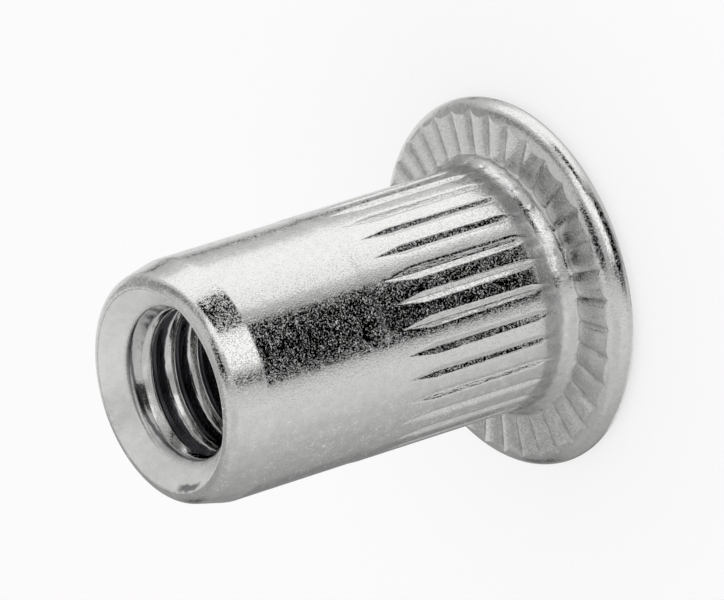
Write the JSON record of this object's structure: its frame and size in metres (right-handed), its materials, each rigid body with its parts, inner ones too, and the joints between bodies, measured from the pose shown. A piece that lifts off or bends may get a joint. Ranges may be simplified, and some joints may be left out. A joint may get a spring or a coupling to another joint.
{
  "type": "rivet nut",
  "caption": "Blind threaded insert with a flat round head, serrated seat, straight-knurled shank and an open, countersunk threaded end.",
  "frame": {"origin": "centre of the head's flat outer face, on the nut's axis", "axes": "+Z along the axis, from the head's outer face towards the open end of the shank; +X runs through a land of the knurl"},
  "size_m": [0.0136, 0.0136, 0.0161],
  "materials": {
    "zinc_plated_steel": "bright zinc plating with a fine grain"
  },
  "bodies": {
    "root": {"rivet_nut_body": "zinc_plated_steel"}
  },
  "joints": []
}
